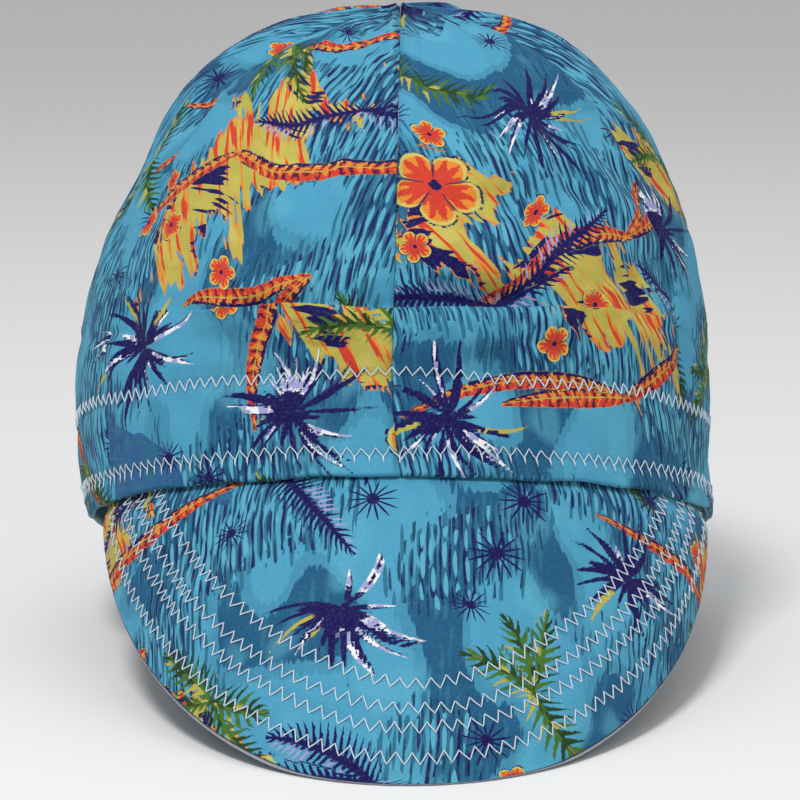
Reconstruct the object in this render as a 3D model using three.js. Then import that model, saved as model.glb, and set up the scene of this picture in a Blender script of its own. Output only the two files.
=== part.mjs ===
// A welding cap of printed cotton: six panels from the pole to the hem, a band inside them in two
// halves, and a quilted bill.
// Millimetres, +Z up, the bill towards -Y. The cap stands by itself on the front edge of its bill
// and the back of its hem, so its band is tipped up at the front.
import * as THREE from "three";

const DEG = Math.PI / 180;

// Hem: the lower edge of the band, measured outside from the middle of the head
const hemHalfWidth = 92.5;
const hemFrontReach = 98;
const hemBackReach = 104;
const hemShift = 2.5; // the hem has slipped this far to the wearer's left

// Band: the doubled cloth from the hem to the upper stitch row
const bandHeight = 28;
const bandSideRise = 3; // how much taller the band is at its sides

// Crown: above the upper stitch row, to the pole where the six seams meet
const crownHalfWidth = 95;
const crownFrontReach = 97;
const crownBackReach = 105;
const crownRise = 151.5; // the pole above the plane of the hem
const poleForward = 29; // the pole ahead of the middle of the hem
const poleShift = 2.3; // the pole to the wearer's left of the middle
const crownNod = 22; // degrees that the top of the crown leans forward
const sideFullness = 0.33; // how much squarer than an ellipse the crown's sides are near the top
const frontFullness = 0.1;
const backFullness = 0.3;

// Bill
const billInsetLeft = 2.5; // each corner is this far inside the hem's half width
const billInsetRight = 6.5;
const billLength = 94.5; // along the centre line
const billArc = 31; // the part of that length between the hem's curve and the corners' chord
const billCornerDepth = 5;
const billThickness = 3.4;
const billEdgeThickness = 1.4;
const billDroop = 66; // degrees below the plane of the hem
const billBulge = 2.5; // how far the middle of the bill stands proud of a straight one
const billRoundness = 1.93; // power of the outline: 2 is an ellipse

// Cloth and making up
const clothThickness = 1.5;
const bandThickness = 1.2;
const seamGap = 0.3; // between neighbouring pieces
const poleHole = 1.1; // radius at the pole where the panels' points stop
const settle = 2; // how far the cloth is pressed where it stands

// A tuck in the cloth shows as a ledge across the front
const LEDGE_RISE = 26; // above the upper stitch row

// One row for each crown panel: its seams in degrees from the centre front towards the wearer's
// left, and how far the cloth puffs out between them, in millimetres
const PANELS = [
  { name: "crown_front_right", from: -60, to: 0, puff: 1.6 },
  { name: "crown_front_left", from: 0, to: 60, puff: 2 },
  { name: "crown_side_left", from: 60, to: 120, puff: 2 },
  { name: "crown_back_left", from: 120, to: 180, puff: 2.2 },
  { name: "crown_back_right", from: 180, to: 240, puff: 2.4 },
  { name: "crown_side_right", from: 240, to: 300, puff: 2 },
];

// One row for each seam valley near the top: its place in degrees and its depth
const SEAM_DIPS = [
  { at: 0, depth: 0.8 },
  { at: 60, depth: 1.2 },
  { at: 120, depth: 1.6 },
  { at: 180, depth: 1.2 },
  { at: 240, depth: 1.6 },
  { at: 300, depth: 3 },
];
const SEAM_DIP_WIDTH = 9;

// Shares of the way from the upper stitch row to the pole where the valleys begin, reach their full
// depth, and begin to close again
const DIP_BEGINS = 0.45;
const DIP_IS_FULL = 0.75;
const DIP_CLOSES = 0.88;
const PUFF_LOWERING = 0.8; // power that sets the fullest part of a puff a little below halfway
const FLAT_SHARE = 0.16; // the share of the ledge's height where the stitch row keeps the cloth flat

// One row for each fold. at and reach are degrees round the crown, rise is the height above the
// upper stitch row as a share of the ledge's, slant is its change in millimetres per degree, width
// is half its breadth, and depth is how far it goes in, negative where it stands out
const FOLDS = [
  { name: "ledge lip", at: 0, reach: 40, rise: 0.83, slant: 0, width: 5, depth: -1.1 },
  { name: "ledge hollow", at: 8, reach: 36, rise: 1.16, slant: 0.02, width: 6, depth: 1.5 },
  { name: "front wedge", at: 17, reach: 14, rise: 1.2, slant: 0.1, width: 5, depth: 1.6 },
  { name: "seam dent", at: -3, reach: 7, rise: 0.5, slant: -0.6, width: 5, depth: 1.2 },
  { name: "front fold", at: 17, reach: 16, rise: 2.42, slant: 0.35, width: 8, depth: 1.4 },
  { name: "right hollow", at: -70, reach: 26, rise: 0.78, slant: 0.08, width: 8, depth: 1.4 },
  { name: "left hollow", at: 78, reach: 24, rise: 0.72, slant: -0.1, width: 8, depth: 1.3 },
  { name: "back ledge", at: 180, reach: 50, rise: 0.72, slant: 0, width: 7, depth: 1.8 },
  { name: "back roll", at: 180, reach: 60, rise: 0.26, slant: 0, width: 7, depth: -1.4 },
  { name: "back slump", at: 196, reach: 30, rise: 2.03, slant: -0.3, width: 11, depth: 2 },
  { name: "right flat", at: -84, reach: 56, rise: 2.88, slant: 0, width: 34, depth: 2.6 },
  { name: "right slump", at: -112, reach: 26, rise: 2.22, slant: 0.25, width: 10, depth: 1.6 },
  { name: "left slump", at: 128, reach: 28, rise: 1.7, slant: -0.2, width: 10, depth: 1.6 },
];

// Rows of a panel: shares of the way up the band, then of the way from its top to the pole
const HEM_ROWS = [0, 0.22, 0.5, 0.78];
const CROWN_ROWS = [0, 0.045, 0.09, 0.135, 0.18, 0.23, 0.29, 0.36, 0.44, 0.52, 0.6, 0.68, 0.75, 0.82,
  0.88, 0.93, 0.97];
const PANEL_COLUMNS = 11;
const BAND_ROWS = [0, 0.5, 1];
const BAND_COLUMNS = 30;
const BILL_ROWS = [0, 0.12, 0.3, 0.5, 0.7, 0.86, 0.92, 0.965, 1];
const BILL_EDGE_FROM = 0.86; // where the bill starts to thin towards its edge
const BILL_COLUMNS = 38;

// Angle at the hem's middle of a bill corner, from how far inside the hem's half width it is
const cornerAngle = (inset) => Math.asin(1 - inset / hemHalfWidth);
const billFrom = -cornerAngle(billInsetRight);
const billTo = cornerAngle(billInsetLeft);
const billDown = new THREE.Vector3(0, -Math.cos(billDroop * DEG), -Math.sin(billDroop * DEG));

// The tilt that brings the bill's tip and the back of the hem to one level
const restTilt = Math.atan2(
  -billLength * billDown.z,
  hemFrontReach + hemBackReach - billLength * billDown.y,
);
const restLift = hemBackReach * Math.sin(restTilt) - settle;

// Distance from the middle to an oval of two half ellipses, at an angle from the front
function ovalRadius(angle, halfWidth, frontReach, backReach) {
  const reach = Math.cos(angle) > 0 ? frontReach : backReach;
  return 1 / Math.hypot(Math.sin(angle) / halfWidth, Math.cos(angle) / reach);
}

// Smallest turn from one angle to another, both in degrees
const turnBetween = (a, b) => ((((a - b + 180) % 360) + 360) % 360) - 180;

function bandBase(angle, up) {
  const hem = ovalRadius(angle, hemHalfWidth, hemFrontReach, hemBackReach);
  const top = ovalRadius(angle, crownHalfWidth, crownFrontReach, crownBackReach);
  const radius = hem + (top - hem) * up;
  return new THREE.Vector3(
    radius * Math.sin(angle) + hemShift * (1 - up) ** 2,
    -radius * Math.cos(angle),
    (bandHeight + bandSideRise * Math.sin(angle) ** 2) * up,
  );
}

// A smooth crown point: up goes from 0 at the upper stitch row to 1 at the pole
function crownBase(angle, up) {
  const rise = Math.sin((up * Math.PI) / 2);
  const endFullness = Math.cos(angle) > 0 ? frontFullness : backFullness;
  const fullness = THREE.MathUtils.lerp(endFullness, sideFullness, Math.sin(angle) ** 2);
  const spread = Math.cos((up * Math.PI) / 2) * (1 + fullness * rise ** 5);
  const radius = spread * ovalRadius(angle, crownHalfWidth, crownFrontReach, crownBackReach);
  const nod = crownNod * DEG * rise;
  const foot = bandHeight + bandSideRise * Math.sin(angle) ** 2;
  return new THREE.Vector3(
    radius * Math.sin(angle) + poleShift * rise,
    -poleForward * rise - radius * Math.cos(angle) * Math.cos(nod),
    foot + (crownRise - foot) * rise - radius * Math.cos(angle) * Math.sin(nod),
  );
}

// Outward normal of a base surface, from small steps round and up it. It is level along the stitch
// row and the hem, so that the edges of neighbouring walls stay parallel
function baseNormal(base, angle, up) {
  const step = 1e-3;
  const round = base(angle + step, up).sub(base(angle - step, up));
  const climb = base(angle, Math.min(up + step, 1)).sub(base(angle, Math.max(up - step, 0)));
  const normal = round.cross(climb);
  if (base === bandBase || up === 0) normal.z = 0;
  return normal.normalize();
}

// How far the crown stands out from its base: puffs between seams, less seam valleys and folds
function crownRelief(panel, angle, up) {
  const degrees = angle / DEG;
  const share = (degrees - panel.from) / (panel.to - panel.from);
  const radius = crownHalfWidth * Math.cos((up * Math.PI) / 2);
  let relief = panel.puff * Math.sin(Math.PI * share) * Math.sin(Math.PI * up ** PUFF_LOWERING);
  const opening = THREE.MathUtils.clamp((up - DIP_BEGINS) / (DIP_IS_FULL - DIP_BEGINS), 0, 1);
  const closing = THREE.MathUtils.clamp((1 - up) / (1 - DIP_CLOSES), 0, 1);
  for (const dip of SEAM_DIPS) {
    const away = (turnBetween(degrees, dip.at) * DEG * radius) / SEAM_DIP_WIDTH;
    relief -= dip.depth * opening * closing * Math.exp(-away * away);
  }
  const height = (crownRise - bandHeight) * Math.sin((up * Math.PI) / 2);
  for (const fold of FOLDS) {
    const turn = turnBetween(degrees, fold.at);
    const along = turn / fold.reach;
    if (Math.abs(along) >= 1) continue;
    const across = (height - fold.rise * LEDGE_RISE - fold.slant * turn) / fold.width;
    relief -= fold.depth * (1 - along * along) ** 2 * Math.exp(-across * across);
  }
  // nothing stands out at the stitch row itself, which pulls the cloth flat
  return relief * THREE.MathUtils.smoothstep(height, 0, LEDGE_RISE * FLAT_SHARE);
}

// Tips the cap as it stands and presses flat what would go through the surface under it
function stand(point, floor = 0) {
  const turned = point.clone().applyAxisAngle(new THREE.Vector3(1, 0, 0), -restTilt);
  turned.z = Math.max(turned.z + restLift, floor);
  return turned;
}

// A closed wall from two equal grids of points: outside and inside, rows of columns
function wall(outside, inside) {
  const rows = outside.length;
  const columns = outside[0].length;
  const corners = [...outside.flat(), ...inside.flat()];
  const faces = [];
  const outer = (row, column) => row * columns + column;
  const inner = (row, column) => rows * columns + outer(row, column);
  const quad = (a, b, c, d) => faces.push(a, b, c, a, c, d);
  for (let row = 0; row < rows - 1; row++) {
    for (let column = 0; column < columns - 1; column++) {
      quad(outer(row, column), outer(row, column + 1), outer(row + 1, column + 1), outer(row + 1, column));
      quad(inner(row, column), inner(row + 1, column), inner(row + 1, column + 1), inner(row, column + 1));
    }
  }
  const last = columns - 1;
  for (let row = 0; row < rows - 1; row++) {
    quad(inner(row, 0), outer(row, 0), outer(row + 1, 0), inner(row + 1, 0));
    quad(outer(row, last), inner(row, last), inner(row + 1, last), outer(row + 1, last));
  }
  const top = rows - 1;
  for (let column = 0; column < last; column++) {
    quad(inner(0, column), inner(0, column + 1), outer(0, column + 1), outer(0, column));
    quad(outer(top, column), outer(top, column + 1), inner(top, column + 1), inner(top, column));
  }
  const geometry = new THREE.BufferGeometry();
  const flat = corners.flatMap((corner) => corner.toArray());
  geometry.setAttribute("position", new THREE.Float32BufferAttribute(flat, 3));
  geometry.setIndex(faces);
  geometry.computeVertexNormals();
  return geometry;
}

// Angles of a strip's columns between two seams, held back by half the gap at each
function columnAngles(from, to, radius, columns) {
  const inset = Math.asin(Math.min(seamGap / 2 / radius, 0.5));
  return Array.from({ length: columns + 1 }, (_, i) => {
    return THREE.MathUtils.lerp(from + inset, to - inset, i / columns);
  });
}

// One row of a panel's points, outside and inside
function panelRow(panel, base, up, radius, reliefAt) {
  const angles = columnAngles(panel.from * DEG, panel.to * DEG, radius, PANEL_COLUMNS);
  return angles.map((angle) => {
    const normal = baseNormal(base, angle, up);
    const relief = reliefAt(angle);
    return {
      outer: stand(base(angle, up).addScaledVector(normal, relief)),
      inner: stand(base(angle, up).addScaledVector(normal, relief - clothThickness)),
    };
  });
}

function crownPanel(panel) {
  const poleRadius = crownHalfWidth * (1 + frontFullness);
  const lastRow = 1 - (poleHole / poleRadius / Math.PI) * 2;
  const rows = HEM_ROWS.map((up) => panelRow(panel, bandBase, up, hemHalfWidth, () => 0));
  for (const up of [...CROWN_ROWS, lastRow]) {
    const radius = crownHalfWidth * Math.cos((up * Math.PI) / 2);
    rows.push(panelRow(panel, crownBase, up, radius, (angle) => crownRelief(panel, angle, up)));
  }
  const outside = rows.map((row) => row.map((point) => point.outer));
  const inside = rows.map((row) => row.map((point) => point.inner));
  return wall(outside, inside);
}

// Half of the band, which lies inside the panels
function bandHalf(from, to) {
  const angles = columnAngles(from, to, hemHalfWidth, BAND_COLUMNS);
  const face = (depth) =>
    BAND_ROWS.map((up) =>
      angles.map((angle) =>
        stand(bandBase(angle, up).addScaledVector(baseNormal(bandBase, angle, up), -depth)),
      ),
    );
  const depth = clothThickness + seamGap;
  return wall(face(depth), face(depth + bandThickness));
}

// A point of the bill's middle layer: across goes from -1 to 1, down from 0 at the hem to 1
function billBase(across, down) {
  const angle = THREE.MathUtils.lerp(billFrom, billTo, (across + 1) / 2);
  const inset = billThickness / 2;
  const radius = ovalRadius(angle, hemHalfWidth - inset, hemFrontReach - inset, hemBackReach);
  const middle = (Math.sin(billFrom) + Math.sin(billTo)) / 2;
  const half = (Math.sin(billTo) - Math.sin(billFrom)) / 2;
  const side = Math.min(Math.abs(Math.sin(angle) - middle) / half, 1);
  const round = (1 - side ** billRoundness) ** (1 / billRoundness);
  const beyondChord = billLength - billArc - billCornerDepth;
  const length = billCornerDepth + billArc * (1 - across * across) + beyondChord * round;
  const rootDrop = (seamGap + inset * Math.cos(billDroop * DEG)) / Math.sin(billDroop * DEG);
  return new THREE.Vector3(radius * Math.sin(angle) + hemShift, -radius * Math.cos(angle), 0)
    .addScaledVector(billDown, rootDrop + (length - rootDrop) * down);
}

function billSolid() {
  const outside = [];
  const inside = [];
  for (const down of [...BILL_ROWS].reverse()) {
    const taper = THREE.MathUtils.smoothstep(down, BILL_EDGE_FROM, 1);
    const half = THREE.MathUtils.lerp(billThickness, billEdgeThickness, taper) / 2;
    const columns = Array.from({ length: BILL_COLUMNS + 1 }, (_, i) => {
      const across = Math.sin(((i / BILL_COLUMNS) * 2 - 1) * 90 * DEG);
      const base = billBase(across, down);
      const step = 1e-3;
      const round = billBase(Math.min(across + step, 1), 0).sub(billBase(Math.max(across - step, -1), 0));
      const normal = billDown.clone().cross(round).normalize();
      base.addScaledVector(normal, billBulge * Math.sin(Math.PI * down) * (1 - across * across));
      return {
        front: stand(base.clone().addScaledVector(normal, half), billEdgeThickness),
        under: stand(base.addScaledVector(normal, -half)),
      };
    });
    outside.push(columns.map((column) => column.front));
    inside.push(columns.map((column) => column.under));
  }
  return wall(outside, inside);
}

const crownCloth = () => new THREE.MeshStandardMaterial({ color: 0x57b0c8, roughness: 0.85, metalness: 0 });
const bandCloth = () => new THREE.MeshStandardMaterial({ color: 0x4fa6c0, roughness: 0.85, metalness: 0 });
const billCloth = () => new THREE.MeshStandardMaterial({ color: 0x52abc4, roughness: 0.82, metalness: 0 });

function named(name, geometry, material) {
  const mesh = new THREE.Mesh(geometry, material);
  mesh.name = name;
  return mesh;
}

const cap = new THREE.Group();
for (const panel of PANELS) cap.add(named(panel.name, crownPanel(panel), crownCloth()));
cap.add(named("band_right", bandHalf(-Math.PI, 0), bandCloth()));
cap.add(named("band_left", bandHalf(0, Math.PI), bandCloth()));
cap.add(named("bill", billSolid(), billCloth()));

// The origin is under the middle of the cap's box, on the surface that it stands on
const box = new THREE.Box3().setFromObject(cap);
const centre = box.getCenter(new THREE.Vector3());
cap.position.set(-centre.x, -centre.y, 0);

export default cap;
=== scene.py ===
import math

import bpy
import numpy as np
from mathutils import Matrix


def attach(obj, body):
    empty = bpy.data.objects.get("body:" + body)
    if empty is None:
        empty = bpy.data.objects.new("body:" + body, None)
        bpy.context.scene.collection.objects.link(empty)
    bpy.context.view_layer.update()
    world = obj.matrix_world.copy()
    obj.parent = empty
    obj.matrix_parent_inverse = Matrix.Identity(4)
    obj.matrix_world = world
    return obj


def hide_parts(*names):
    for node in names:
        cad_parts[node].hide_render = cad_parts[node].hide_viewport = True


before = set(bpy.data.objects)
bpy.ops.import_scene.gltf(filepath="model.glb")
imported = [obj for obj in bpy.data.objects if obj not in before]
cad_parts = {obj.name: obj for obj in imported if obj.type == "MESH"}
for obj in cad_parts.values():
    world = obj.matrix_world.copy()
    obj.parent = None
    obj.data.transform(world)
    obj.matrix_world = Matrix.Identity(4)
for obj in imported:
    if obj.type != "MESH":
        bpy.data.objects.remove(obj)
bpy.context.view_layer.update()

DEG = math.pi / 180
MM = 0.001

# Sizes shared with the part
HEM_HALF_WIDTH = 92.5
HEM_FRONT_REACH = 98
HEM_BACK_REACH = 104
HEM_SHIFT = 2.5
BAND_HEIGHT = 28
BAND_SIDE_RISE = 3
CROWN_HALF_WIDTH = 95
CROWN_FRONT_REACH = 97
CROWN_BACK_REACH = 105
CROWN_RISE = 151.5
POLE_FORWARD = 29
POLE_SHIFT = 2.3
CROWN_NOD = 22
SIDE_FULLNESS = 0.33
FRONT_FULLNESS = 0.1
BACK_FULLNESS = 0.3
BILL_INSET_LEFT = 2.5
BILL_INSET_RIGHT = 6.5
BILL_LENGTH = 94.5
BILL_ARC = 31
BILL_CORNER_DEPTH = 5
BILL_THICKNESS = 3.4
BILL_EDGE_THICKNESS = 1.4
BILL_DROOP = 66
BILL_BULGE = 2.5
BILL_ROUNDNESS = 1.93
CLOTH_THICKNESS = 1.5
BAND_THICKNESS = 1.2
SEAM_GAP = 0.3
SETTLE = 2
LEDGE_RISE = 26
CENTRE = (-0.1187, 22.3417)  # brings the middle of the part's box to the origin

# A row for each crown panel: name, the seam where it begins in degrees, its puff, and where its
# print was cut: an offset across, an offset up and a turn in degrees
PANELS = [
    ("crown_front_right", -60, 1.6, 74, 118, 4),
    ("crown_front_left", 0, 2.0, 222, 20, -5),
    ("crown_side_left", 60, 2.0, 150, 60, 8),
    ("crown_back_left", 120, 2.2, 20, 210, 0),
    ("crown_back_right", -180, 2.4, 190, 130, -6),
    ("crown_side_right", -120, 2.0, 300, 190, 3),
]
PUFFS = np.array([panel[2] for panel in PANELS])
PANEL_DEGREES = 60

# Seam valleys near the top: degrees, depth
SEAM_DIPS = [(0, 0.8), (60, 1.2), (120, 1.6), (180, 1.2), (240, 1.6), (300, 3)]
SEAM_DIP_WIDTH = 9

# Folds: middle in degrees, reach in degrees, rise as a share of the ledge's, slant in mm per
# degree, half breadth, depth
FOLDS = [
    (0, 40, 0.83, 0, 5, -1.1),
    (8, 36, 1.16, 0.02, 6, 1.5),
    (17, 14, 1.2, 0.1, 5, 1.6),
    (-3, 7, 0.5, -0.6, 5, 1.2),
    (17, 16, 2.42, 0.35, 8, 1.4),
    (-70, 26, 0.78, 0.08, 8, 1.4),
    (78, 24, 0.72, -0.1, 8, 1.3),
    (180, 50, 0.72, 0, 7, 1.8),
    (180, 60, 0.26, 0, 7, -1.4),
    (196, 30, 2.03, -0.3, 11, 2),
    (-84, 56, 2.88, 0, 34, 2.6),
    (-112, 26, 2.22, 0.25, 10, 1.6),
    (128, 28, 1.7, -0.2, 10, 1.6),
]
FLAT_SHARE = 0.16  # share of the ledge's rise over which the folds fade out downwards

# Sharp creases: a line of (degrees, height above the upper stitch row) points, depth, half breadth
CREASES = [
    ([(24, 27), (27, 23), (29, 16), (30, 6)], 1.3, 1.7),
    ([(-3, 23), (-4, 17), (-1, 12)], 1.5, 2.4),
    ([(-20, 22), (-22, 15), (-12, 10), (-6, 13)], 0.9, 2.0),
    ([(4, 33), (12, 35), (21, 30), (26, 24)], 1.3, 2.4),
    ([(21, 14), (26, 11), (36, 10)], 0.5, 1.6),
    ([(-25, 20), (-27, 14), (-24, 8)], 0.6, 1.6),
    ([(12, 62), (19, 67), (29, 68)], 0.8, 3.0),
    ([(17, 58), (22, 62)], 0.6, 2.4),
    ([(-52, 22), (-60, 19), (-70, 12)], 0.8, 2.0),
    ([(-31, 44), (-42, 40), (-52, 42)], 0.6, 2.8),
    ([(52, 20), (62, 22), (72, 15)], 0.8, 2.0),
    ([(40, 36), (52, 33), (60, 36)], 0.6, 2.6),
    ([(150, 24), (170, 19), (200, 20), (215, 26)], 1.1, 2.2),
    ([(100, 30), (120, 24), (140, 26)], 0.9, 2.4),
    ([(240, 26), (262, 20), (280, 24)], 0.9, 2.4),
    ([(176, 60), (190, 54), (206, 58)], 0.8, 3.0),
]

# Looks that the scene adds to the part
ARC = DEG * CROWN_HALF_WIDTH  # round the crown, for one degree
SEAM_GROOVE = 0.85  # depth of the groove between two panels
SEAM_WIDTH = 0.85
LOWER_ROW = 6.0  # height of the lower stitch row above the hem
ROW_PULL = 0.4  # how far a stitch row draws the cloth in
ROW_WIDTH = 1.5
PUCKER_LENGTH = 7.5


def smooth(value, start, end):
    """0 before the start and 1 after the end, with an eased climb between them."""
    t = np.clip((value - start) / (end - start), 0, 1)
    return t * t * (3 - 2 * t)


def bell(away, width):
    """1 in the middle, falling off over the width."""
    return np.exp(-((away / width) ** 2))


def turn_between(a, b):
    return (a - b + 180) % 360 - 180


def rotated(x, y, degrees):
    c, s = math.cos(degrees * DEG), math.sin(degrees * DEG)
    return x * c - y * s, x * s + y * c


def unit(vectors):
    return vectors / np.maximum(np.linalg.norm(vectors, axis=-1, keepdims=True), 1e-9)


def lengths_along(points):
    """How far each point of a line, or of each row of a grid, lies from its start."""
    gaps = np.linalg.norm(np.diff(points, axis=-2), axis=-1)
    return np.concatenate([np.zeros((*gaps.shape[:-1], 1)), np.cumsum(gaps, axis=-1)], axis=-1)


def waves(a, b, seed, longest, shortest, count=14):
    """A smooth unevenness of about one unit over coordinates in millimetres."""
    rng = np.random.default_rng(seed)
    total = np.zeros(np.broadcast(a, b).shape)
    for _ in range(count):
        length = shortest * (longest / shortest) ** rng.random()
        heading = rng.random() * 2 * math.pi
        phase = rng.random() * 2 * math.pi
        k = 2 * math.pi / length
        total += np.sin(k * (a * math.cos(heading) + b * math.sin(heading)) + phase)
    return total / math.sqrt(count / 2)


def line_distance(x, y, points):
    """Distance to a line of points and the share of the way along it."""
    best = np.full(x.shape, 1e9)
    along = np.zeros(x.shape)
    count = len(points) - 1
    for i in range(count):
        (ax, ay), (bx, by) = points[i], points[i + 1]
        dx, dy = bx - ax, by - ay
        t = np.clip(((x - ax) * dx + (y - ay) * dy) / max(dx * dx + dy * dy, 1e-9), 0, 1)
        d = np.hypot(x - ax - t * dx, y - ay - t * dy)
        nearer = d < best
        best = np.where(nearer, d, best)
        along = np.where(nearer, (i + t) / count, along)
    return best, along


# Smooth forms of the band and the dome, as in the part
DOME = CROWN_RISE - BAND_HEIGHT


def dome_height(up):
    return DOME * np.sin(up * math.pi / 2)


def dome_radius(up):
    return CROWN_HALF_WIDTH * np.cos(up * math.pi / 2)


def dome_up(height):
    return np.arcsin(np.clip(height / DOME, 0, 1)) * 2 / math.pi


def oval_radius(angle, half_width, front, back):
    reach = np.where(np.cos(angle) > 0, front, back)
    return 1 / np.hypot(np.sin(angle) / half_width, np.cos(angle) / reach)


def crown_oval(angle):
    return oval_radius(angle, CROWN_HALF_WIDTH, CROWN_FRONT_REACH, CROWN_BACK_REACH)


def band_top(angle):
    return BAND_HEIGHT + BAND_SIDE_RISE * np.sin(angle) ** 2


def band_base(angle, up):
    hem = oval_radius(angle, HEM_HALF_WIDTH, HEM_FRONT_REACH, HEM_BACK_REACH)
    radius = hem + (crown_oval(angle) - hem) * up
    x = radius * np.sin(angle) + HEM_SHIFT * (1 - np.minimum(up, 1)) ** 2
    return np.stack([x, -radius * np.cos(angle), band_top(angle) * up], -1)


def crown_base(angle, up):
    rise = np.sin(up * math.pi / 2)
    end = np.where(np.cos(angle) > 0, FRONT_FULLNESS, BACK_FULLNESS)
    fullness = end + (SIDE_FULLNESS - end) * np.sin(angle) ** 2
    radius = np.cos(up * math.pi / 2) * (1 + fullness * rise**5) * crown_oval(angle)
    nod = CROWN_NOD * DEG * rise
    foot = band_top(angle)
    x = radius * np.sin(angle) + POLE_SHIFT * rise
    y = -POLE_FORWARD * rise - radius * np.cos(angle) * np.cos(nod)
    z = foot + (CROWN_RISE - foot) * rise - radius * np.cos(angle) * np.sin(nod)
    return np.stack([x, y, z], -1)


def normal_of(base, angle, up):
    step = 1e-3
    across = base(angle + step, up) - base(angle - step, up)
    climb = base(angle, np.minimum(up + step, 1)) - base(angle, np.maximum(up - step, 0))
    normal = np.cross(across, climb)
    if base is band_base:
        normal[..., 2] = 0
    return unit(normal)


# Looks of the band and the dome
def tuck_share(degrees):
    """1 where the tuck across the front is deepest, 0 where there is none."""
    away = turn_between(degrees, 0)
    return smooth(away, -38, -22) * (1 - smooth(away, 18, 31))


def from_back(degrees):
    """0 at the centre back, where the waves of both sides have to meet, and 1 away from it."""
    return smooth(180 - np.abs(degrees), 0, 9)


def ledge_height(degrees):
    return LEDGE_RISE + 0.6 * from_back(degrees) * waves(degrees * ARC, 0, 3, 90, 30, 5)


def seam_gap(angle, radius):
    """Distance round the head to the nearest seam between two panels."""
    half = PANEL_DEGREES / 2
    return np.abs(turn_between((angle / DEG + half) % PANEL_DEGREES, half)) * DEG * radius


def bridge(angle):
    """How far a thread has to stand off the cloth to cross the seams without dipping in."""
    return 0.95 * SEAM_GROOVE * bell(seam_gap(angle, HEM_HALF_WIDTH), 0.9)


def row_drop(angle):
    """How much lower the upper stitch row runs at the sides than the panels' folds there."""
    return 2.8 * np.sin(angle) ** 2


def puckers(angle):
    """Little waves that the two stitch rows draw in the cloth."""
    arc = angle * HEM_HALF_WIDTH
    phase = 1.5 * waves(arc, 0, 6, 60, 20, 6)
    return 0.16 * from_back(angle / DEG) * np.sin(arc * 2 * math.pi / PUCKER_LENGTH + phase)


def crown_relief(angle, up):
    """How far the dome stands out from its base."""
    degrees = angle / DEG
    share = ((degrees + PANEL_DEGREES) % PANEL_DEGREES) / PANEL_DEGREES
    puff = PUFFS[(((degrees + 60.0) % 360) // PANEL_DEGREES).astype(int) % 6]
    radius = dome_radius(up)
    height = dome_height(up)
    relief = puff * np.sin(math.pi * share) * np.sin(math.pi * up**0.8)
    near_top = np.clip((up - 0.45) / 0.3, 0, 1) * np.clip((1 - up) / 0.12, 0, 1)
    for at, depth in SEAM_DIPS:
        away = turn_between(degrees, at) * DEG * radius
        relief = relief - depth * near_top * bell(away, SEAM_DIP_WIDTH)
    for at, reach, rise, slant, width, depth in FOLDS:
        turn = turn_between(degrees, at)
        along = np.clip(turn / reach, -1, 1)
        across = height - rise * LEDGE_RISE - slant * turn
        relief = relief - depth * (1 - along * along) ** 2 * bell(across, width)
    relief = relief * smooth(height, 0, LEDGE_RISE * FLAT_SHARE)

    # What the part leaves out: the ledge's sharp edge, creases, seams, puckers and slight waves
    tuck = tuck_share(degrees)
    ledge = ledge_height(degrees)
    under = 1 - smooth(height, ledge - 0.25, ledge + 0.25)
    wedge = bell(turn_between(degrees, 15), 9)
    hollow = bell(np.maximum(height - ledge, 0), 4 + 3 * wedge) * (1 - under)
    relief = relief + (0.1 + 1.2 * tuck) * under * smooth(height, 3, 20)
    relief = relief - (0.1 + 1.5 * tuck + 1.5 * wedge) * hollow
    for line, depth, width in CREASES:
        middle = sum(at for at, _ in line) / len(line)
        arc = (turn_between(degrees, middle) + middle) * ARC
        away, along = line_distance(arc, height, [(at * ARC, rise) for at, rise in line])
        fade = np.sin(math.pi * np.clip(along, 0.06, 0.94)) ** 0.7
        relief = relief - depth * fade * bell(away, width)
    arc = degrees * ARC
    calm = (1 - 0.45 * np.sin(angle) ** 4) * from_back(degrees)
    uneven = 0.75 * waves(arc, height, 11, 52, 18) + 0.14 * waves(arc, height, 12, 15, 7)
    relief = relief + smooth(height, 2, 14) * calm * uneven
    seam = seam_gap(angle, radius)
    pulled = bell(seam, 5.5) * smooth(radius, 4, 20)
    ripple = np.sin(height * 2 * math.pi / PUCKER_LENGTH + 2 * waves(height, 0, 5, 60, 20))
    relief = relief + 0.22 * pulled * ripple * (0.4 + smooth(height, 70, 120))
    relief = relief - SEAM_GROOVE * bell(seam, SEAM_WIDTH) * smooth(radius, 1, 9)
    relief = relief + puckers(angle) * bell(height, 3.5)
    return relief - ROW_PULL * bell(height + row_drop(angle), ROW_WIDTH)


def crown_surface(angle, up, out=0.0):
    """The panels above the upper stitch row. out is a distance from their face."""
    relief = crown_relief(angle, up) + out
    return crown_base(angle, up) + normal_of(crown_base, angle, up) * relief[..., None]


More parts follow.
